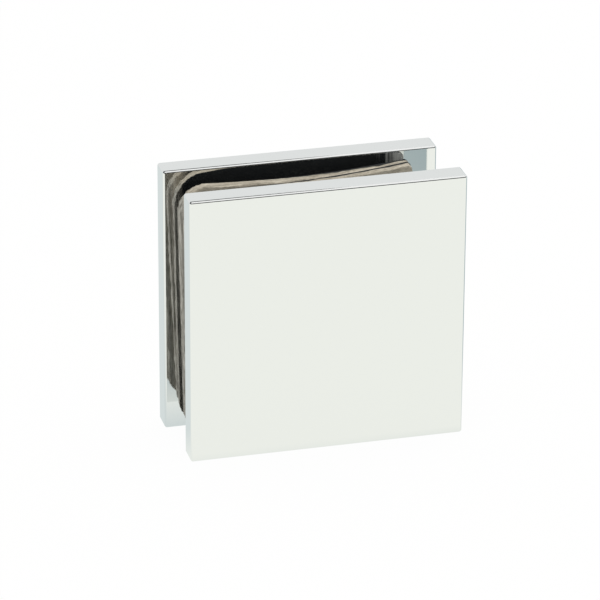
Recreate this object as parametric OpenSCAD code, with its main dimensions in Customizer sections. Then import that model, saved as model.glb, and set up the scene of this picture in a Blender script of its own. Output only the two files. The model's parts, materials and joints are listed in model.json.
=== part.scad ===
// Glass clamp: two square chromed plates that grip sheet glass between loose fibre gaskets.
// The frame is Z up, with X along the plates and Y from the front plate to the rear plate.
// The origin is under the middle of the clamp, on the surface that the plates stand on.

/* [Plates] */
// Width of both plates
plate_w = 50; // [44:0.5:80]
// Height of both plates
plate_h = 50; // [44:0.5:80]
// Thickness of both plates
plate_t = 4.5; // [4.4:0.1:8]
// Bevel along every edge of the plates
edge_bevel = 0.3; // [0.1:0.05:0.8]
// Clear gap between the plates when the posts are home against the rear plate
clamp_gap = 10; // [9.5:0.1:18]
// Distance that the front plate sits to the right of the rear plate
plate_shift = 1.4; // [0:0.1:2]

/* [Gaskets] */
// Thickness of one gasket
gasket_t = 1.8; // [1:0.1:2.3]
// Side margin of a centred gasket inside the plates
gasket_side_margin = 3.9; // [2.2:0.05:5]
// Top and bottom margin of a centred gasket inside the plates
gasket_end_margin = 1.15; // [1:0.05:4]
// Corner radius at the upper left of the gaskets
left_corner_r = 5.5; // [2:0.5:9]
// Corner radius at the lower left of the gaskets
lower_corner_r = 3.5; // [2:0.5:9]
// Corner radius on the right side of the gaskets
right_corner_r = 1; // [0.5:0.25:9]
// Angle that the loose gaskets stand out of true, with the right side higher
gasket_tilt = 1.1; // [0:0.1:1.2]
// Angle that the front gasket is turned further than the rear one
front_tilt_more = 1.1; // [0:0.1:1.2]
// Free space between the front gasket and the front plate, at the top of their arch
front_space = 2.3; // [1.5:0.1:4]
// Space between the two gaskets
layer_space = 0.3; // [0.1:0.05:0.6]
// Space left between the ends of the rear gasket and the rear plate
end_space = 1.2; // [0.3:0.05:1.6]
// Distance from the left edge of the gaskets to the top of their arch
peak_run = 20; // [12:0.2:24]
// Half the straight part of a gasket slot, which lets the gasket move sideways
slot_reach = 2.35; // [0.5:0.05:3]
// Play of the gasket slots above and below the sleeves
slot_hang_play = 0.45; // [0.4:0.05:0.8]

/* [Posts and sleeves] */
// Distance between the axes of the two posts
post_spacing = 24; // [20:0.5:28]
// Outside diameter of a post
post_d = 9; // [8:0.5:11]
// Diameter of the spigot that is pressed into the front plate
spigot_d = 7.4; // [7:0.1:7.8]
// Metal left between the spigot hole and the front face
front_skin = 1.8; // [1:0.1:2.5]
// Wall of a sleeve
sleeve_wall = 1; // [0.6:0.1:1.5]

/* [Screws] */
// Thread diameter of the screws
thread_d = 6; // [5:0.5:6.5]
// Diameter of the countersunk head
head_d = 12; // [11:0.5:13]
// Straight rim of the head above its cone
head_rim = 0.3; // [0.1:0.05:0.4]
// Depth of the head below the rear face
head_recess = 0.3; // [0.1:0.05:0.4]
// Hex socket, across its flats
socket_af = 4; // [3:0.5:4.5]
// Depth of the hex socket
socket_depth = 2.2; // [1.5:0.1:2.4]
// Bevel at the tip of the thread
tip_bevel = 0.7; // [0.3:0.1:1]

/* [Fits] */
// Radial running gap between a screw and the thread of its post
thread_gap = 0.05; // [0.02:0.01:0.1]
// Radial gap between a screw and its hole in the rear plate
hole_gap = 0.25; // [0.1:0.05:0.4]
// Gap along the axis between a screw head and its countersink
head_gap = 0.1; // [0.05:0.05:0.2]
// Gap between a post and the rear plate with the clamp closed
post_end_gap = 0.05; // [0.02:0.01:0.1]
// Gap between a sleeve and the rear plate with the clamp closed
sleeve_end_gap = 0.2; // [0.1:0.05:0.5]
// Radial gap between a post and its sleeve
sleeve_gap = 0.1; // [0.05:0.05:0.2]
// Radial gap of the spigot in its hole
spigot_gap = 0.02; // [0.01:0.01:0.05]
// Air at the bottom of the spigot hole
spigot_end_gap = 0.2; // [0.1:0.05:0.3]
// Gap between a gasket slot and the sleeve that it hangs on
hang_gap = 0.1; // [0.05:0.05:0.2]
// Gap between a screw tip and the plane of the front plate's inner face
tip_gap = 0.1; // [0.05:0.05:0.5]

/* [Hidden] */
$fn = 96;
arch_fn = 720;
upper = 1;
lower = -1;

chrome = [0.9, 0.91, 0.89];
fibre = [0.66, 0.63, 0.57];
brass = [0.78, 0.64, 0.36];
nylon = [0.93, 0.92, 0.86];
steel = [0.72, 0.73, 0.74];

// Faces across the clamp, from the front to the rear
front_inner = -clamp_gap / 2;
rear_inner = clamp_gap / 2;
front_outer = front_inner - plate_t;
rear_outer = rear_inner + plate_t;
middle_z = plate_h / 2;
rear_plate_x = -plate_shift / 2;
front_plate_x = plate_shift / 2;

// Spigots and sleeves
spigot_l = plate_t - front_skin - spigot_end_gap;
sleeve_bore_d = post_d + 2 * sleeve_gap;
sleeve_d = sleeve_bore_d + 2 * sleeve_wall;

// Screws, with a head cone of 90 degrees
head_cone = (head_d - thread_d) / 2;
head_top = rear_outer - head_recess;
hole_d = thread_d + 2 * hole_gap;
sink_d = head_d + 2 * (head_recess + head_rim + head_gap);
screw_l = head_top - front_inner - tip_gap;

// Gaskets: they hang on the sleeves, pushed to the left until a sleeve meets the round end of its slot
gasket_w = plate_w - 2 * gasket_side_margin;
gasket_h = plate_h - 2 * gasket_end_margin;
gasket_z = middle_z + hang_gap - slot_hang_play;

// Arch of the rear gasket: it stands off the rear plate, and both its ends lean back to the plate. The front
// gasket follows it on the right and is flat on the left
rear_space = clamp_gap - front_space - 2 * gasket_t - layer_space;
arch_depth = rear_space - end_space;
peak_x = hang_x(0) - gasket_w / 2 + peak_run;
peak_y = rear_inner - rear_space;
left_run = peak_run;
right_run = gasket_w - peak_run;

// A little more than a cut needs, so that it runs clear of both faces
cut_past = 1;

// Height of a post's axis
function post_z(side) = middle_z + side * post_spacing / 2;

// Angle that a gasket stands out of true. Layer 0 is the gasket next to the rear plate, and layer 1 the front one
function tilt(layer) = gasket_tilt + layer * front_tilt_more;

// Middle of a gasket across the plates, where its slot meets a sleeve
function hang_x(layer) = hang_gap + post_spacing / 2 * sin(tilt(layer)) - slot_reach;

// Radius of the arc that drops by the depth of the arch over the given run
function arc_r(run) = (run * run + arch_depth * arch_depth) / (2 * arch_depth);

// Carries a shape built up the Z axis so that it runs towards the rear, from the given face
module towards_rear(y, z = 0) {
    translate([0, y, z]) rotate([-90, 0, 0]) children();
}

// The same, but running towards the front
module towards_front(y, z = 0) {
    translate([0, y, z]) rotate([90, 0, 0]) children();
}

// Rectangle with its four corners cut at 45 degrees
module cut_rectangle(w, h, cut) {
    x = w / 2;
    y = h / 2;
    polygon([[cut - x, -y], [x - cut, -y], [x, cut - y], [x, y - cut],
             [x - cut, y], [cut - x, y], [-x, y - cut], [-x, cut - y]]);
}

// One quarter of a rectangle, on the given sides of its middle, with its corner rounded
module round_quarter(side, end, w, h, r) {
    translate([side * (w / 2 - r) / 2, end * h / 4]) square([w / 2 - r, h / 2], center = true);
    translate([side * w / 4, end * (h / 2 - r) / 2]) square([w / 2, h / 2 - r], center = true);
    translate([side * (w / 2 - r), end * (h / 2 - r)]) circle(r);
}

// Outline of a gasket, with rounder corners on its left side. Its top points along -Y
module gasket_outline() {
    round_quarter(-1, -1, gasket_w, gasket_h, left_corner_r);
    round_quarter(-1, 1, gasket_w, gasket_h, lower_corner_r);
    for (end = [-1, 1]) round_quarter(1, end, gasket_w, gasket_h, right_corner_r);
}

// Plain plate with a bevel on all twelve edges, with its middle and its front face at the given places
module bevelled_plate(x, y) {
    translate([x, y + plate_t / 2, middle_z]) intersection() {
        linear_extrude(plate_h, center = true) cut_rectangle(plate_w, plate_t, edge_bevel);
        rotate([90, 0, 0]) linear_extrude(plate_t, center = true)
            cut_rectangle(plate_w, plate_h, edge_bevel);
        rotate([90, 0, 90]) linear_extrude(plate_w, center = true)
            cut_rectangle(plate_t, plate_h, edge_bevel);
    }
}

// Countersunk clearance hole, drilled from the rear face
module screw_hole(side) {
    towards_front(rear_outer, post_z(side)) {
        translate([0, 0, -cut_past]) cylinder(d = hole_d, h = plate_t + 2 * cut_past);
        cylinder(d1 = sink_d, d2 = hole_d, h = (sink_d - hole_d) / 2);
        translate([0, 0, -cut_past]) cylinder(d = sink_d, h = cut_past);
    }
}

// Blind hole for a post's spigot, drilled from the inner face
module spigot_hole(side) {
    hole_l = spigot_l + spigot_end_gap;
    towards_front(front_inner + cut_past, post_z(side))
        cylinder(d = spigot_d + 2 * spigot_gap, h = hole_l + cut_past);
}

module rear_plate() {
    color(chrome) difference() {
        bevelled_plate(rear_plate_x, rear_inner);
        screw_hole(upper);
        screw_hole(lower);
    }
}

module front_plate() {
    color(chrome) difference() {
        bevelled_plate(front_plate_x, front_outer);
        spigot_hole(upper);
        spigot_hole(lower);
    }
}

// Carries a flat outline to where a gasket hangs, as deep as the whole gap
module hanging(layer) {
    translate([hang_x(layer), 0, gasket_z]) rotate([0, -tilt(layer), 0]) towards_rear(front_inner)
        linear_extrude(clamp_gap) children();
}

// Slot that a gasket hangs by, longer sideways than the sleeve that runs through it
module hang_slot(side) {
    slot_d = sleeve_d + 2 * slot_hang_play;
    translate([0, side * post_spacing / 2]) {
        square([2 * slot_reach, slot_d], center = true);
        for (x = [-slot_reach, slot_reach]) translate([x, 0]) circle(d = slot_d);
    }
}

// One side of an arched sheet, as a slice of a tube
module arch_side(layer, run, from_x) {
    inner_r = arc_r(run) + layer * (gasket_t + layer_space);
    outer_r = inner_r + gasket_t;
    translate([peak_x, peak_y + arc_r(run), 0]) intersection() {
        difference() {
            cylinder(r = outer_r, h = plate_h, $fn = arch_fn);
            translate([0, 0, -cut_past]) cylinder(r = inner_r, h = plate_h + 2 * cut_past, $fn = arch_fn);
        }
        translate([from_x, -outer_r, 0]) cube([run + cut_past, clamp_gap, plate_h]);
    }
}

// The flat left side of a sheet, level with the top of the arch
module flat_side(layer) {
    translate([peak_x - left_run - cut_past, peak_y - (layer + 1) * gasket_t - layer * layer_space, 0])
        cube([left_run + cut_past, gasket_t, plate_h]);
}

module gasket(layer) {
    color(fibre) difference() {
        intersection() {
            union() {
                if (layer == 0) arch_side(layer, left_run, -left_run - cut_past);
                else flat_side(layer);
                arch_side(layer, right_run, 0);
            }
            hanging(layer) gasket_outline();
        }
        hanging(layer) hang_slot(upper);
        hanging(layer) hang_slot(lower);
    }
}

module rear_gasket() {
    gasket(0);
}

module front_gasket() {
    gasket(1);
}

// Threaded post: a tube on the inner face of the front plate, with a spigot in the plate
module post(side) {
    color(brass) difference() {
        union() {
            towards_rear(front_inner, post_z(side)) cylinder(d = post_d, h = clamp_gap - post_end_gap);
            towards_front(front_inner, post_z(side)) cylinder(d = spigot_d, h = spigot_l);
        }
        towards_rear(front_outer, post_z(side))
            cylinder(d = thread_d + 2 * thread_gap, h = plate_t + clamp_gap);
    }
}

module upper_post() {
    post(upper);
}

module lower_post() {
    post(lower);
}

// Tube over a post, which keeps the metal off the glass
module sleeve(side) {
    sleeve_l = clamp_gap - sleeve_end_gap;
    color(nylon) towards_rear(front_inner, post_z(side)) difference() {
        cylinder(d = sleeve_d, h = sleeve_l);
        translate([0, 0, -cut_past]) cylinder(d = sleeve_bore_d, h = sleeve_l + 2 * cut_past);
    }
}

module upper_sleeve() {
    sleeve(upper);
}

module lower_sleeve() {
    sleeve(lower);
}

// Countersunk screw with a hex socket, its head at the rear and its tip inside the post
module screw(side) {
    color(steel) towards_front(head_top, post_z(side)) difference() {
        union() {
            cylinder(d = head_d, h = head_rim);
            translate([0, 0, head_rim]) cylinder(d1 = head_d, d2 = thread_d, h = head_cone);
            cylinder(d = thread_d, h = screw_l - tip_bevel);
            translate([0, 0, screw_l - tip_bevel])
                cylinder(d1 = thread_d, d2 = thread_d - 2 * tip_bevel, h = tip_bevel);
        }
        translate([0, 0, -cut_past])
            cylinder(d = socket_af / cos(30), h = socket_depth + cut_past, $fn = 6);
    }
}

module upper_screw() {
    screw(upper);
}

module lower_screw() {
    screw(lower);
}

rear_plate();
front_plate();
rear_gasket();
front_gasket();
upper_post();
lower_post();
upper_sleeve();
lower_sleeve();
upper_screw();
lower_screw();
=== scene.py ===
# %% [markdown]
# # Dressing a glass clamp
# The clamp is two polished plates that grip a glass panel, with two loose fibre gaskets between them.
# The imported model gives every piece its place, so it is loaded first and left as it is. Each piece is
# then modelled again with the detail that a plain solid lacks, and stands for its node of the model.

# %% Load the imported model
import json
import math
import bpy
from mathutils import Matrix, Vector, noise


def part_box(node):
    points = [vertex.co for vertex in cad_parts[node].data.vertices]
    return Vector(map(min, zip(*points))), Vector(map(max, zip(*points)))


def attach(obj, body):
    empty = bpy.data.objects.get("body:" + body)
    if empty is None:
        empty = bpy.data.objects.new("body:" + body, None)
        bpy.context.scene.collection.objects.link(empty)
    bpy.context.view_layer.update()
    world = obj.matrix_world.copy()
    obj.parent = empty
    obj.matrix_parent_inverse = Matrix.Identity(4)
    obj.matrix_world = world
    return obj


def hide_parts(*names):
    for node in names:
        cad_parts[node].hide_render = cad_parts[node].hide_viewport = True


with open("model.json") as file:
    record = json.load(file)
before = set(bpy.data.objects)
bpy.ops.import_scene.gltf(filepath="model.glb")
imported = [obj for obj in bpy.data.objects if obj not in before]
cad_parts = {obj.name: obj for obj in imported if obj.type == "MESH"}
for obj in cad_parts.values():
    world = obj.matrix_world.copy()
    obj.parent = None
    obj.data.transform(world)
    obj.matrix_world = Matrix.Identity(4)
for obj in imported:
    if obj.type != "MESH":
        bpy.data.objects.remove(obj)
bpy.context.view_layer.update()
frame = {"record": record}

mm = 0.001


def in_mm(values):
    return [round(v / mm, 2) for v in values]


bodies = frame["record"]["behaviour"]["bodies"]
print("bodies:", {name: list(nodes) for name, nodes in bodies.items()})

# %% [markdown]
# ## Camera
# The photograph was taken from the left, a little above the clamp, through a long lens. Its angle and
# distance come from a fit of the plates' edges, so the camera can be built from three angles and a point.
# Writing the view as a matrix keeps the small roll, which a Track To constraint would lose.

# %% Place the camera
yaw, pitch, roll = math.radians(14.736), math.radians(24.437), math.radians(0.297)
focus_px, frame_px, sensor_mm = 4086.9, 600, 36
look_at, camera_distance = Vector((-2.023, 0.014, 24.974)) * mm, 726.738
forward = Vector((math.sin(yaw) * math.cos(pitch), math.cos(yaw) * math.cos(pitch), -math.sin(pitch)))
level = Vector((math.cos(yaw), -math.sin(yaw), 0))
upright = level.cross(forward)
to_right = math.cos(roll) * level + math.sin(roll) * upright
to_top = math.cos(roll) * upright - math.sin(roll) * level

bpy.ops.object.select_all(action="DESELECT")
bpy.ops.object.camera_add()
camera = bpy.context.object
camera.data.sensor_width = sensor_mm
camera.data.lens = sensor_mm * focus_px / frame_px
camera.data.clip_start, camera.data.clip_end = 0.01, 100
turn = Matrix((to_right, to_top, -forward)).transposed().to_4x4()
camera.matrix_world = Matrix.Translation(look_at - forward * camera_distance * mm) @ turn
bpy.context.scene.camera = camera
print("lens in mm:", round(camera.data.lens, 1), "camera at", in_mm(camera.matrix_world.translation))

# %% [markdown]
# ## Tools for materials
# Colours are read off as sRGB hex values, and Blender's shaders want linear ones. One small function adds
# a node with its settings and links. A few more on top of it name the nodes that come back in every
# material, and hand on their output, so that each material below reads as a list of what it is made of.

# %% Colour and node helpers
def srgb(code):
    parts = [int(code[i:i + 2], 16) / 255 for i in (1, 3, 5)]
    return [p / 12.92 if p <= 0.04045 else ((p + 0.055) / 1.055) ** 2.4 for p in parts] + [1]


def add_node(tree, kind, settings=None, links=None):
    """Adds a node. Settings go to its properties, or to the sockets of that name. Links name its inputs."""
    node = tree.nodes.new(kind)
    for key, value in (settings or {}).items():
        if isinstance(key, str) and hasattr(node, key):
            setattr(node, key, value)
        else:
            node.inputs[key].default_value = value
    for key, source in (links or {}).items():
        tree.links.new(source, node.inputs[key])
    return node


def set_input(tree, socket, value):
    """Gives an input a number, a colour written as hex, or a link to the output of another node."""
    if isinstance(value, bpy.types.NodeSocket):
        tree.links.new(value, socket)
    else:
        socket.default_value = srgb(value) if isinstance(value, str) else value


def new_material(name):
    """An empty material and its shader, which are filled in by the caller."""
    material = bpy.data.materials.new(name)
    material.use_nodes = True
    tree = material.node_tree
    return material, tree, tree.nodes["Principled BSDF"]


def set_shader(tree, shader, inputs):
    for name, value in inputs.items():
        set_input(tree, shader.inputs[name], value)


print("white in linear:", srgb("#FFFFFF"))

# %% Nodes that come back
def calc(tree, operation, *terms):
    """A sum, product or the like. Each term is a number or an output."""
    node = add_node(tree, "ShaderNodeMath", {"operation": operation})
    for socket, term in zip(node.inputs, terms):
        set_input(tree, socket, term)
    return node.outputs["Value"]


def remap(tree, source, lo, hi, to_lo=0, to_hi=1):
    """Brings a value from the range lo to hi into the range to_lo to to_hi."""
    ends = {"From Min": lo, "From Max": hi, "To Min": to_lo, "To Max": to_hi}
    return add_node(tree, "ShaderNodeMapRange", ends, {"Value": source}).outputs["Result"]


def even_noise(tree, place, scale, detail, roughness=0.5):
    settings = {"Scale": scale, "Detail": detail, "Roughness": roughness}
    return add_node(tree, "ShaderNodeTexNoise", settings, {"Vector": place}).outputs["Fac"]


def stretched_noise(tree, place, scales, detail, roughness=0.5):
    """A noise with a scale for each axis. A scale of 0 makes it the same all along that axis."""
    mapped = add_node(tree, "ShaderNodeMapping", {"Scale": scales}, {"Vector": place})
    return even_noise(tree, mapped.outputs["Vector"], 1, detail, roughness)


def ramp(tree, source, *stops):
    """Turns a value into a colour. Each stop is a place on the ramp and its colour."""
    node = add_node(tree, "ShaderNodeValToRGB", links={"Fac": source})
    points = node.color_ramp.elements
    points[0].position, points[0].color = stops[0][0], srgb(stops[0][1])
    points[1].position, points[1].color = stops[-1][0], srgb(stops[-1][1])
    for place, colour in stops[1:-1]:
        points.new(place).color = srgb(colour)
    return node.outputs["Color"]


def blend(tree, share, first, second):
    """Mixes two colours, each an output or a hex value. The node keeps sockets for other types as well."""
    node = add_node(tree, "ShaderNodeMix", {"data_type": "RGBA"}, {0: share})
    colour_a, colour_b, result = node.inputs[6], node.inputs[7], node.outputs[2]
    set_input(tree, colour_a, first)
    set_input(tree, colour_b, second)
    return result


def bump(tree, height, strength, distance):
    settings = {"Strength": strength, "Distance": distance}
    return add_node(tree, "ShaderNodeBump", settings, {"Height": height}).outputs["Normal"]


def object_place(tree):
    return add_node(tree, "ShaderNodeTexCoord").outputs["Object"]


def split_axes(tree, vector):
    return add_node(tree, "ShaderNodeSeparateXYZ", links={"Vector": vector}).outputs


def mirror_rays(tree, rays):
    """1 for what is seen in a mirror or through glass, and 0 for the rest."""
    return calc(tree, "MAXIMUM", rays["Is Glossy Ray"], rays["Is Transmission Ray"])


print("node tools:", [f.__name__ for f in (calc, remap, even_noise, stretched_noise, ramp, blend, bump)])

# %% [markdown]
# ## Chrome plating
# The plates are solid brass, ground flat, buffed and chrome plated. The eye sees a mirror with a nearly
# neutral white tint. Buffing leaves the flats a few hundredths of a degree out of true and puts faint
# hairlines in the gloss. A metal with a low roughness gives the mirror. Noise at the size of a buffing pass
# bends it, and a stretched noise changes the roughness along the polishing direction.

# %% Material: buffed chrome plating
chrome, tree, shader = new_material("buffed_chrome_plating")
place = object_place(tree)
hairlines = stretched_noise(tree, place, (1 / (9 * mm), 1 / (0.5 * mm), 1 / (0.35 * mm)), detail=3)
gloss = remap(tree, hairlines, 0, 1, 0.025, 0.06)
swell = even_noise(tree, place, 1 / (11 * mm), detail=1)
wave = bump(tree, swell, strength=0.05, distance=0.05 * mm)
set_shader(tree, shader, {"Base Color": "#EEEFEE", "Metallic": 1, "Roughness": gloss, "Normal": wave})
print("made", chrome.name)

# %% [markdown]
# ## The two plates
# Each plate is a square block with every edge broken by a narrow bevel. On a mirror the bevel matters more
# than the faces do: its flat shows the lamp overhead as a light line, and its two rounded borders show the
# dark ceiling as thin dark lines. So the block is bevelled twice, first flat and then with a small rounding.
# A smooth-shaded flat would bend its reflections towards its corners. Weighted normals, which let the
# largest face decide, keep it true.

# %% Tools for shapes
def pick(obj):
    """Makes the object the only one that is selected, and the active one."""
    bpy.ops.object.select_all(action="DESELECT")
    obj.select_set(True)
    bpy.context.view_layer.objects.active = obj


def edit(obj):
    pick(obj)
    bpy.ops.object.mode_set(mode="EDIT")
    bpy.ops.mesh.select_all(action="SELECT")


def edit_points(obj, test):
    """Opens the active object for editing with only the points selected that pass the test."""
    for vertex in obj.data.vertices:
        vertex.select = test(vertex.co)
    for part in (*obj.data.edges, *obj.data.polygons):
        part.select = all(obj.data.vertices[i].select for i in part.vertices)
    bpy.ops.object.mode_set(mode="EDIT")


def leave():
    bpy.ops.object.mode_set(mode="OBJECT")


def settle():
    """Puts the place, turn and size of the active object into its mesh."""
    bpy.ops.object.transform_apply(location=True, rotation=True, scale=True)


def smooth(obj, degrees):
    """Smooth shading, but for edges that are sharper than the angle."""
    pick(obj)
    bpy.ops.object.shade_smooth_by_angle(angle=math.radians(degrees))


def apply_modifier(obj, kind, **settings):
    modifier = obj.modifiers.new(kind.lower(), kind)
    for key, value in settings.items():
        setattr(modifier, key, value)
    pick(obj)
    bpy.ops.object.modifier_apply(modifier=modifier.name)


def cut(obj, cutter):
    apply_modifier(obj, "BOOLEAN", operation="DIFFERENCE", solver="EXACT", object=cutter)
    bpy.data.objects.remove(cutter)


print("shape tools:", [f.__name__ for f in (pick, edit, edit_points, leave, settle, smooth, cut)])

# %% Bevelled plates
edge_bevel, edge_rounding = 0.3 * mm, 0.1 * mm


def bevelled_plate(name, node):
    lo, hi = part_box(node)
    bpy.ops.object.select_all(action="DESELECT")
    bpy.ops.mesh.primitive_cube_add(size=1, location=(lo + hi) / 2)
    obj = bpy.context.object
    obj.name = obj.data.name = name
    obj.scale = hi - lo
    settle()
    edit(obj)
    bpy.ops.mesh.bevel(offset=edge_bevel, segments=1, affect="EDGES")
    bpy.ops.mesh.select_all(action="SELECT")
    bpy.ops.mesh.bevel(offset=edge_rounding, segments=6, affect="EDGES")
    leave()
    return obj


rear_plate = bevelled_plate("rear_plate_chromed", "rear_plate")
front_plate = bevelled_plate("front_plate_chromed", "front_plate")
print("faces of a bevelled plate:", len(rear_plate.data.polygons))

# %% [markdown]
# ## Drilling the plates
# The rear plate has two countersunk screw holes, and the front plate has two blind holes that hold the posts.
# A drill is a turned tool, so each cutter is made on a lathe: one vertex is walked along half the outline
# and the outline is spun round the screw's axis. A Boolean modifier then cuts it out of the plate.

# %% Lathe
weld = 0.002 * mm


def turned(name, outline, height, steps=96):
    """Spins an outline of (radius, y) points, in mm, round an axis along Y at the given height."""
    bpy.ops.object.select_all(action="DESELECT")
    radius, y = outline[0]
    bpy.ops.mesh.primitive_plane_add(size=mm, location=(radius * mm, y * mm, height))
    obj = bpy.context.object
    obj.name = obj.data.name = name
    settle()
    edit(obj)
    bpy.ops.mesh.merge(type="CENTER")
    for (r0, y0), (r1, y1) in zip(outline, outline[1:]):
        step = ((r1 - r0) * mm, (y1 - y0) * mm, 0)
        bpy.ops.mesh.extrude_vertices_move(TRANSFORM_OT_translate={"value": step})
    bpy.ops.mesh.select_all(action="SELECT")
    bpy.ops.mesh.spin(steps=steps, angle=2 * math.pi, center=(0, 0, height), axis=(0, 1, 0))
    bpy.ops.mesh.select_all(action="SELECT")
    bpy.ops.mesh.remove_doubles(threshold=weld)
    bpy.ops.mesh.normals_make_consistent(inside=False)
    leave()
    return obj


# %% Drill the holes
upper_z = (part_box("upper_screw")[0].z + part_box("upper_screw")[1].z) / 2
lower_z = (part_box("lower_screw")[0].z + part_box("lower_screw")[1].z) / 2
rear_out, rear_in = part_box("rear_plate")[1].y / mm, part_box("rear_plate")[0].y / mm
front_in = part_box("front_plate")[1].y / mm
hole_r, sink_r, spigot_hole_r, spigot_hole_depth, overrun = 3.25, 6.7, 3.72, 2.7, 1
spigot_floor = front_in - spigot_hole_depth
screw_drill = [(0, rear_in - overrun), (hole_r, rear_in - overrun), (hole_r, rear_out - (sink_r - hole_r)),
               (sink_r, rear_out), (sink_r, rear_out + overrun), (0, rear_out + overrun)]
post_drill = [(0, front_in + overrun), (spigot_hole_r, front_in + overrun),
              (spigot_hole_r, spigot_floor), (0, spigot_floor)]

for z in (upper_z, lower_z):
    cut(rear_plate, turned("screw_drill", screw_drill, z))
    cut(front_plate, turned("post_drill", post_drill, z))

for plate, node, body in ((rear_plate, "rear_plate", "rear_jaw"), (front_plate, "front_plate", "front_jaw")):
    smooth(plate, 32)
    apply_modifier(plate, "WEIGHTED_NORMAL", weight=100, keep_sharp=True)
    plate.data.materials.append(chrome)
    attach(plate, body)
    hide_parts(node)
    print(plate.name, "faces:", len(plate.data.polygons))

# %% [markdown]
# ## Pressed fibre
# The gaskets are punched from pressed fibre sheet: vegetable fibre laid down in thin layers, tan and quite
# matt. On the cut edge the layers show as light and dark streaks that run along the sheet. Near the left edge
# the colour turns to greyer, darker streaks: the hairy streaks of the cut, with painted shade for the weaker
# light from the left. The streaks must follow the bend of the sheet, so each gasket keeps the place that its
# points had while it was flat, in mm, and the noise reads that place. It is stretched along the sheet and
# short across it.

# %% Material: pressed fibre sheet
fibre, tree, shader = new_material("pressed_fibre_sheet")
flat = add_node(tree, "ShaderNodeAttribute", {"attribute_name": "flat_place"}).outputs["Vector"]
axes = split_axes(tree, flat)
streaks = stretched_noise(tree, flat, (1 / 4.5, 1 / 0.45, 1 / 4.5), detail=4, roughness=0.65)
pulp = even_noise(tree, flat, 1 / 0.5, detail=4, roughness=0.7)
layers = calc(tree, "MULTIPLY_ADD", pulp, 0.45, streaks)
tan = ramp(tree, layers, (0.45, "#6C675C"), (0.72, "#AEA698"), (0.98, "#D2CBBD"))
# Near the left edge the fibre turns to grey streaks, darker than the tan: hairy streaks of the cut, with
# painted shade for the weaker light from the left.
hairs = stretched_noise(tree, flat, (1 / 0.5, 1 / 0.5, 1 / 6), detail=4, roughness=0.7)
streaks_and_left_shade = ramp(tree, hairs, (0.36, "#66645F"), (0.66, "#C4C2BB"))
left_streak_and_shade_share = remap(tree, axes["X"], -19, -20.6, 0, 0.9)
fibre_and_left_shade = blend(tree, left_streak_and_shade_share, tan, streaks_and_left_shade)
fuzz = bump(tree, layers, strength=0.6, distance=0.12 * mm)
set_shader(tree, shader, {"Roughness": 0.92, "Specular IOR Level": 0.2, "Normal": fuzz})
print("made", fibre.name, "without its skin")

# %% [markdown]
# ## Its black skin, with painted shade and painted light
# The back of a sheet carries a thin black skin. It is found by its distance from the back. Towards the right
# the black grows thicker, as the dark line between the sheets does in the photograph: that extra black is
# painted shade for the gap between the sheets. It ends short of the left edge, and shorter still on the front
# sheet. At the right end the back face is painted with light upright streaks, lighter towards the end: painted
# light where light comes in between the plates. The front sheet reads every noise further up, so that the two
# differ, and that also tells it apart.

# %% Black skin of the sheet
sheet_t, pattern_shift = 1.8, 83
skin_left_t, right_skin_and_shade_t, front_skin_short = 0.14, 0.75, 2.2
# The black grows thicker to the right: beyond the thin skin, that is painted shade for the gap between the
# sheets.
skin_and_shade_t = remap(tree, axes["X"], -10, 6, skin_left_t, right_skin_and_shade_t)
from_back = calc(tree, "SUBTRACT", sheet_t, axes["Y"])
in_skin_and_shade = remap(tree, calc(tree, "DIVIDE", from_back, skin_and_shade_t), 1, 0.7)
on_front_sheet = calc(tree, "GREATER_THAN", axes["Z"], pattern_shift / 2)
skin_x = calc(tree, "MULTIPLY_ADD", on_front_sheet, -front_skin_short, axes["X"])
skin_and_gap_shade = calc(tree, "MULTIPLY", in_skin_and_shade, remap(tree, skin_x, -20.6, -19.2))
# Light upright streaks on the back face, lighter towards the right end: painted light where light comes in
# there.
upright_streak_noise = stretched_noise(tree, flat, (1 / 0.7, 0, 1 / 14), detail=3)
on_back = calc(tree, "MULTIPLY_ADD", from_back, -6, upright_streak_noise)
painted_light_streaks = calc(tree, "ADD", on_back, remap(tree, axes["X"], 15, 21, -0.5, 0.3))
black_with_painted_light = ramp(tree, painted_light_streaks, (0.3, "#2C2E30"), (0.7, "#D6D6D4"))
set_shader(tree, shader, {"Base Color": blend(tree, skin_and_gap_shade, fibre_and_left_shade, black_with_painted_light)})
print("made the skin of", fibre.name)

# %% [markdown]
# ## The two gaskets
# Each gasket is a flat sheet with two slots, which hang on the sleeves. Its left corners are round and its
# right ones nearly square. A sheet is cut flat first, as in the workshop. Its outline is a plane with
# bevelled corners, extruded to its thickness, and the slots are cut with a Boolean. Remeshing then gives it
# enough points to bend, and to fray at the cut.

# %% Cut the flat sheets
sheet_w, sheet_h = 42.2, 47.7
left_corner_r, lower_corner_r, right_corner_r = 5.5, 3.5, 1.0
slot_r, slot_reach, slot_offset, cutter_depth = 6.05, 2.35, 12.0, 10
voxel, margin = 0.3, 0.01


def slot_cutter(z):
    """A cylinder whose two halves are moved apart, which makes a long hole."""
    bpy.ops.object.select_all(action="DESELECT")
    bpy.ops.mesh.primitive_cylinder_add(vertices=72, radius=slot_r * mm, depth=cutter_depth * mm,
                                        location=(0, 0, z * mm), rotation=(math.radians(90), 0, 0))
    cutter = bpy.context.object
    settle()
    edit_points(cutter, lambda co: co.x > 0.001 * mm)
    bpy.ops.transform.translate(value=(2 * slot_reach * mm, 0, 0))
    bpy.ops.mesh.select_all(action="SELECT")
    bpy.ops.transform.translate(value=(-slot_reach * mm, 0, 0))
    leave()
    return cutter


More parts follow.
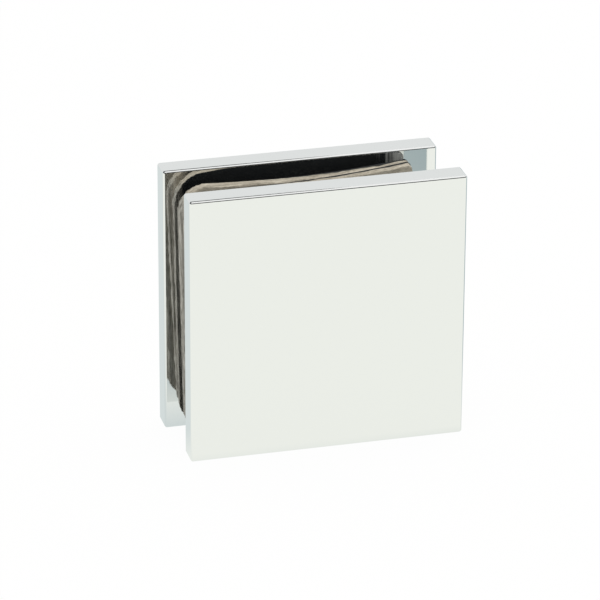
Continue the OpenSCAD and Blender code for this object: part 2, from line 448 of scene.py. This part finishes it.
def flat_sheet(name):
    bpy.ops.object.select_all(action="DESELECT")
    bpy.ops.mesh.primitive_plane_add(size=1, rotation=(math.radians(90), 0, 0))
    obj = bpy.context.object
    obj.name = obj.data.name = name
    obj.scale = (sheet_w * mm, sheet_h * mm, 1)
    settle()
    side, foot = (sheet_w / 2 - margin) * mm, -(sheet_h / 2 - margin) * mm
    corners = ((lambda co: co.x > side, right_corner_r),
               (lambda co: co.x < -side and co.z > 0, left_corner_r),
               (lambda co: co.x < -side and co.z < foot, lower_corner_r))
    for test, radius in corners:
        edit_points(obj, test)
        bpy.ops.mesh.bevel(offset=radius * mm, segments=16, affect="VERTICES")
        leave()
    edit(obj)
    bpy.ops.mesh.extrude_region_move(TRANSFORM_OT_translate={"value": (0, sheet_t * mm, 0)})
    bpy.ops.mesh.select_all(action="SELECT")
    bpy.ops.mesh.normals_make_consistent(inside=False)
    leave()
    for z in (-slot_offset, slot_offset):
        cut(obj, slot_cutter(z))
    apply_modifier(obj, "REMESH", mode="VOXEL", voxel_size=voxel * mm)
    return obj


rear_gasket = flat_sheet("rear_gasket_fibre")
front_gasket = flat_sheet("front_gasket_fibre")
print("points of a flat sheet:", len(rear_gasket.data.vertices))

# %% [markdown]
# ## Fraying and bending the sheets
# Punching leaves the cut edge of a fibre sheet ragged, and handling opens it further. Points near the outline
# are pulled inwards by a noise, layer by layer, so the edge never grows past the sheet's size. The skin at
# the back holds together. In the photograph the sheets are bowed: the ends of the rear one lie close to the
# rear plate and its middle stands off it. So every point is bent: the sheet keeps its outline as seen from
# the front, and its depth follows two arcs that meet at the top of the arch. The front sheet is turned a
# little further, and it is flat to the left of the arch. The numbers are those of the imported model.

# %% Fray and bend
gasket_z = 24.65
peak_run, rear_space, end_space, layer_pitch = 20.0, 3.8, 1.2, 2.1
sheet_lie = [(-2.02, math.radians(1.1)), (-1.789, math.radians(2.2))]
peak_x, peak_y = sheet_lie[0][0] - sheet_w / 2 + peak_run, rear_in - rear_space
drop = rear_space - end_space
fray_reach, skin_hold = 0.9, 0.7
fray_mean, fray_ragged, fray_chipped = 0.14, 0.2, 0.1


def arc_radius(run):
    return (run * run + drop * drop) / (2 * drop)


def edge_depth(x, z):
    """How far a point of the flat sheet lies inside the outline, and the way inwards there."""
    corner_r = right_corner_r if x > 0 else left_corner_r if z > 0 else lower_corner_r
    qx, qz = abs(x) - (sheet_w / 2 - corner_r), abs(z) - (sheet_h / 2 - corner_r)
    if qx > 0 and qz > 0:
        length = math.hypot(qx, qz)
        inside, way = corner_r - length, (qx / length, qz / length)
    elif qx > qz:
        inside, way = corner_r - qx, (1, 0)
    else:
        inside, way = corner_r - qz, (0, 1)
    return inside, (-math.copysign(way[0], x), -math.copysign(way[1], z))


def frayed(x, y, z, shift):
    """The place of a point of the flat sheet after fraying."""
    inside, way = edge_depth(x, z)
    near = max(0, 1 - inside / fray_reach)
    if near:
        ragged = noise.noise(Vector((x / 1.6, y / 0.5, z / 1.6)) + shift)
        chipped = noise.noise(Vector((x / 5, y / 2.5, z / 5)) - shift)
        amount = fray_mean + fray_ragged * ragged + fray_chipped * chipped
        pull = max(0, near * min(1, (sheet_t - y) / skin_hold) * amount)
        x, z = x + way[0] * pull, z + way[1] * pull
    return x, z


def fray_and_bend(obj, layer):
    mesh = obj.data
    flat_place = mesh.attributes.new("flat_place", "FLOAT_VECTOR", "POINT")
    shift = Vector((0, 0, pattern_shift * layer))
    gasket_x, gasket_tilt = sheet_lie[layer]
    for vertex in mesh.vertices:
        x, y, z = vertex.co / mm
        flat_place.data[vertex.index].vector = Vector((x, y, z)) + shift
        x, z = frayed(x, y, z, shift)
        across = gasket_x + x * math.cos(gasket_tilt) - z * math.sin(gasket_tilt)
        height = gasket_z + x * math.sin(gasket_tilt) + z * math.cos(gasket_tilt)
        radius = arc_radius(peak_run if across < peak_x else sheet_w - peak_run)
        forwards = radius + layer * layer_pitch + sheet_t - y
        run = max(0, across - peak_x) if layer else across - peak_x
        depth = peak_y + radius - math.sqrt(forwards ** 2 - run ** 2)
        vertex.co = Vector((across, depth, height)) * mm
    smooth(obj, 60)


for obj, node, layer in ((rear_gasket, "rear_gasket", 0), (front_gasket, "front_gasket", 1)):
    fray_and_bend(obj, layer)
    obj.data.materials.append(fibre)
    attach(obj, "rear_jaw")
    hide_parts(node)
    ends = [f(v.co[i] for v in obj.data.vertices) for f in (min, max) for i in range(3)]
    lo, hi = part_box(node)
    print(obj.name, "node in mm:", in_mm((*lo, *hi)), "sheet:", in_mm(ends))

# %% [markdown]
# ## Turned brass and nylon tube
# The posts are brass bar, turned on a lathe, with the fine rings that the tool leaves. The sleeves over them
# are cut from plain nylon tube, cream-white and waxy. Rings come from a noise that is short along the axis
# and hardly changes across it. Nylon needs little more than its colour, a soft gloss and a trace of drawing
# marks.

# %% Materials: turned brass, drawn nylon
brass, tree, shader = new_material("turned_brass")
place = object_place(tree)
rings = stretched_noise(tree, place, (1, 1 / (0.2 * mm), 1), detail=2)
tarnish = even_noise(tree, place, 1 / (3 * mm), detail=3)
tone = ramp(tree, tarnish, (0.3, "#B79455"), (0.7, "#CBA962"))
marks = bump(tree, rings, strength=0.25, distance=0.02 * mm)
set_shader(tree, shader, {"Base Color": tone, "Metallic": 1, "Roughness": 0.24, "Normal": marks})

nylon, tree, shader = new_material("drawn_nylon_tube")
place = object_place(tree)
drawn = stretched_noise(tree, place, (1 / (0.6 * mm), 1 / (8 * mm), 1 / (0.6 * mm)), detail=3)
tone = ramp(tree, drawn, (0.3, "#E4DFCD"), (0.7, "#F0ECDD"))
marks = bump(tree, drawn, strength=0.15, distance=0.03 * mm)
set_shader(tree, shader, {"Base Color": tone, "Roughness": 0.42, "IOR": 1.53, "Normal": marks})
print("made", brass.name, "and", nylon.name)

# %% [markdown]
# ## Posts and sleeves
# A post is a threaded tube with a thinner spigot at its front end, which is pressed into the front plate.
# It reaches the rear plate when the clamp is closed. The sleeve is a tube over it, which keeps the metal off
# the glass. Both are turned from their half sections, with a small bevel on every rim.

# %% Turn the posts and sleeves
post_r, bore_r, spigot_r, rim = 4.5, 3.05, 3.7, 0.25
sleeve_r, sleeve_bore_r, soft_rim = 5.6, 4.6, 0.2
seat_gap = 0.02
seat = front_in + seat_gap
post_end, spigot_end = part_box("upper_post")[1].y / mm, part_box("upper_post")[0].y / mm
sleeve_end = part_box("upper_sleeve")[1].y / mm
post_outline = [(bore_r + rim, post_end), (post_r - rim, post_end), (post_r, post_end - rim), (post_r, seat),
                (spigot_r, seat), (spigot_r, spigot_end + rim), (spigot_r - rim, spigot_end),
                (bore_r, spigot_end), (bore_r, post_end - rim), (bore_r + rim, post_end)]
sleeve_outline = [(sleeve_bore_r + soft_rim, sleeve_end), (sleeve_r - soft_rim, sleeve_end),
                  (sleeve_r, sleeve_end - soft_rim), (sleeve_r, seat + soft_rim),
                  (sleeve_r - soft_rim, seat), (sleeve_bore_r + soft_rim, seat),
                  (sleeve_bore_r, seat + soft_rim), (sleeve_bore_r, sleeve_end - soft_rim),
                  (sleeve_bore_r + soft_rim, sleeve_end)]

for side, z in (("upper", upper_z), ("lower", lower_z)):
    post = turned(side + "_post_turned", post_outline, z)
    sleeve = turned(side + "_sleeve_tube", sleeve_outline, z)
    for obj, material, slot, node in ((post, brass, "post_brass", side + "_post"),
                                      (sleeve, nylon, "sleeve_nylon", side + "_sleeve")):
        smooth(obj, 30)
        obj.data.materials.append(material)
        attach(obj, "front_jaw")
        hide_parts(node)
        print(obj.name, "faces:", len(obj.data.polygons))

# %% [markdown]
# ## Stainless steel
# The screws are cold-headed stainless steel, tumbled but not polished: a grey metal with a broad, soft gloss
# and fine marks in no direction.

# %% Material: tumbled stainless steel
steel, tree, shader = new_material("tumbled_stainless_steel")
tumbled = even_noise(tree, object_place(tree), 1 / (0.4 * mm), detail=4)
gloss = remap(tree, tumbled, 0, 1, 0.22, 0.4)
marks = bump(tree, tumbled, strength=0.12, distance=0.02 * mm)
set_shader(tree, shader, {"Base Color": "#B8BABB", "Metallic": 1, "Roughness": gloss, "Normal": marks})
print("made", steel.name)

# %% [markdown]
# ## Countersunk screws
# Each screw has a flat head with a hex socket and a rolled thread of 1 mm pitch. The head and the core are
# turned in one go. The socket is a six-sided cutter. The thread is a tapered ridge: its section is a plane
# whose outer side is scaled down, and a Screw modifier winds it round the core. Its open ends are filled.

# %% Wind a thread
head_top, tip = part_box("upper_screw")[1].y / mm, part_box("upper_screw")[0].y / mm
thread_r, core_r, thread_pitch = 2.97, 2.42, 1.0
core_start, run_in, sunk = 4.6, 0.75, 0.1
root_share, crest_share, thread_steps = 0.84, 0.16, 48


def thread(name, z):
    start, turns = tip + run_in, int(head_top - core_start - tip - run_in)
    bpy.ops.object.select_all(action="DESELECT")
    bpy.ops.mesh.primitive_plane_add(size=1)
    obj = bpy.context.object
    obj.name = name
    obj.scale = ((thread_r - core_r + sunk) * mm, root_share * thread_pitch * mm, 1)
    settle()
    edit_points(obj, lambda co: co.x > 0)
    bpy.ops.transform.resize(value=(1, crest_share, 1), center_override=(0, 0, 0))
    bpy.ops.mesh.select_all(action="SELECT")
    middle_r, middle_y = (thread_r + core_r - sunk) / 2, start + root_share / 2 * thread_pitch
    bpy.ops.transform.translate(value=(middle_r * mm, middle_y * mm, 0))
    bpy.ops.mesh.delete(type="ONLY_FACE")
    leave()
    apply_modifier(obj, "SCREW", axis="Y", angle=2 * math.pi, screw_offset=thread_pitch * mm,
                   iterations=turns, steps=thread_steps, render_steps=thread_steps)
    edit(obj)
    bpy.ops.mesh.remove_doubles(threshold=weld)
    bpy.ops.mesh.select_all(action="DESELECT")
    bpy.ops.mesh.select_non_manifold()
    bpy.ops.mesh.fill_holes(sides=4)
    bpy.ops.mesh.select_all(action="SELECT")
    bpy.ops.mesh.normals_make_consistent(inside=False)
    bpy.ops.transform.translate(value=(0, 0, z))
    leave()
    return obj


# %% Turn the screws
head_r, shank_r, rim_w, rim_h, side_h = 6.0, 3.0, 0.15, 0.12, 0.3
cone_end, shank_end, tip_h, tip_bevel = 3.3, 4.0, 0.7, 0.5
socket_half_width, socket_depth = 2, 2.2
head_outline = [(0, head_top), (head_r - rim_w, head_top), (head_r, head_top - rim_h),
                (head_r, head_top - side_h), (shank_r, head_top - cone_end), (shank_r, head_top - shank_end),
                (core_r, head_top - core_start), (core_r, tip + tip_h), (core_r - tip_bevel, tip), (0, tip)]
socket_r = socket_half_width / math.cos(math.radians(30))

for side, z in (("upper", upper_z), ("lower", lower_z)):
    screw = turned(side + "_screw_threaded", head_outline, z, steps=72)
    bpy.ops.object.select_all(action="DESELECT")
    bpy.ops.mesh.primitive_cylinder_add(vertices=6, radius=socket_r * mm, depth=2 * socket_depth * mm,
                                        location=(0, head_top * mm, z), rotation=(math.radians(90), 0, 0))
    key = bpy.context.object
    settle()
    cut(screw, key)
    ridge = thread(side + "_thread", z)
    pick(screw)
    ridge.select_set(True)
    bpy.ops.object.join()
    smooth(screw, 30)
    screw.data.materials.append(steel)
    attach(screw, side + "_clamp_screw")
    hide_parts(side + "_screw")
    print(screw.name, "faces:", len(screw.data.polygons))

# %% [markdown]
# ## Floor
# The clamp stands on a white sweep. To the camera, and to the mirror of the chrome, most of that white is the
# background itself, so that it stays even. A small share of plain diffuse white keeps a trace of the shadow.
# From just in front of the clamp backwards, the mirror shows the sweep out of the light, most of all to the
# right, as a cool grey.

# %% White floor
floor_size, floor_drop, even_share = 30, 0.02 * mm, 0.97
bpy.ops.object.select_all(action="DESELECT")
bpy.ops.mesh.primitive_plane_add(size=1, location=(0, 0, -floor_drop))
floor = bpy.context.object
floor.name = "white_sweep"
floor.scale = (floor_size, floor_size, 1)
settle()
edit(floor)
bpy.ops.mesh.subdivide(number_cuts=3)
leave()

sweep = bpy.data.materials.new("white_sweep_paper")
sweep.use_nodes = True
tree = sweep.node_tree
tree.nodes.remove(tree.nodes["Principled BSDF"])
rays = add_node(tree, "ShaderNodeLightPath").outputs
seen = mirror_rays(tree, rays)
even = calc(tree, "MULTIPLY", calc(tree, "MAXIMUM", seen, rays["Is Camera Ray"]), even_share)
axes = split_axes(tree, object_place(tree))
backwards = remap(tree, axes["Y"], -0.0125, 0.004)
shaded = blend(tree, remap(tree, axes["X"], 0, 0.06), "#DCE4E4", "#B0BFC2")
lit = blend(tree, seen, "#FFFFFF", "#FCFEF8")
fall_off = blend(tree, calc(tree, "MULTIPLY", backwards, seen), lit, shaded)
glow = add_node(tree, "ShaderNodeEmission", {"Strength": 1}, {"Color": fall_off})
paper = add_node(tree, "ShaderNodeBsdfDiffuse", {"Color": srgb("#F2F2F0")})
both = add_node(tree, "ShaderNodeMixShader",
                links={0: even, 1: paper.outputs["BSDF"], 2: glow.outputs["Emission"]})
tree.links.new(both.outputs["Shader"], tree.nodes["Material Output"].inputs["Surface"])
floor.data.materials.append(sweep)
print("floor faces:", len(floor.data.polygons))

# %% [markdown]
# ## Light
# A mirror has no look of its own: it shows the room. Here the room is white at the sides and behind the clamp,
# and dark overhead and behind the camera. The dark part gives the dark lines on the top edges, and a long
# narrow lamp above the front gives the light line between them. A panel in the ceiling, to the right, drowns
# the upper dark line there. The camera sees plain white instead. Matt pieces get an even light that is
# stronger from above, and some from the left, so that their colours come out about as they are written.

# %% Room
world = bpy.data.worlds.new("white_room")
bpy.context.scene.world = world
world.use_nodes = True
tree = world.node_tree
tree.nodes.clear()
rays = add_node(tree, "ShaderNodeLightPath").outputs
axes = split_axes(tree, add_node(tree, "ShaderNodeTexCoord").outputs["Generated"])
up_and_front = calc(tree, "MULTIPLY_ADD", axes["Y"], -0.5, axes["Z"])
room = ramp(tree, up_and_front, (0.06, "#EBEDED"), (0.32, "#D8DCDD"), (0.6, "#101214"))
daylight = ramp(tree, axes["Z"], (0, "#A2A9AA"), (1, "#FFFDF8"))
even = add_node(tree, "ShaderNodeBackground", {"Strength": 1.15}, {"Color": daylight})
mirrored = add_node(tree, "ShaderNodeBackground", {"Strength": 1}, {"Color": room})
backdrop = add_node(tree, "ShaderNodeBackground", {"Color": srgb("#FFFFFF"), "Strength": 1})
inner = add_node(tree, "ShaderNodeMixShader", links={
    0: mirror_rays(tree, rays), 1: even.outputs["Background"], 2: mirrored.outputs["Background"]})
outer = add_node(tree, "ShaderNodeMixShader", links={
    0: rays["Is Camera Ray"], 1: inner.outputs["Shader"], 2: backdrop.outputs["Background"]})
add_node(tree, "ShaderNodeOutputWorld", links={"Surface": outer.outputs["Shader"]})
print("made", world.name)

# %% Lamps
clamp_middle = Vector((0, 0, 0.03))


def area_lamp(name, way, distance, width, height, energy, aside=clamp_middle):
    """A lamp that shines back along the given direction."""
    bpy.ops.object.select_all(action="DESELECT")
    bpy.ops.object.light_add(type="AREA")
    lamp = bpy.context.object
    lamp.name = name
    lamp.data.shape, lamp.data.size, lamp.data.size_y, lamp.data.energy = "RECTANGLE", width, height, energy
    facing = way.to_track_quat("Z", "Y").to_matrix().to_4x4()
    lamp.matrix_world = Matrix.Translation(way * distance + aside) @ facing
    lamp.visible_camera = False
    print(name, "at", [round(v, 2) for v in lamp.matrix_world.translation])
    return lamp


area_lamp("narrow_lamp", Vector((0.23, -0.41, 0.88)), distance=0.6, width=0.5, height=0.14, energy=0.22)
left_lamp = area_lamp("left_lamp", Vector((-0.9, -0.25, 0.25)).normalized(), distance=0.8,
                      width=0.6, height=0.6, energy=0.8)
left_lamp.visible_glossy = False
area_lamp("ceiling_panel", Vector((0, 0, 1)), distance=0.65, width=0.6, height=0.7, energy=1.15,
          aside=Vector((0.455, 0.15, 0)))
bpy.context.scene.view_settings.view_transform = "Standard"
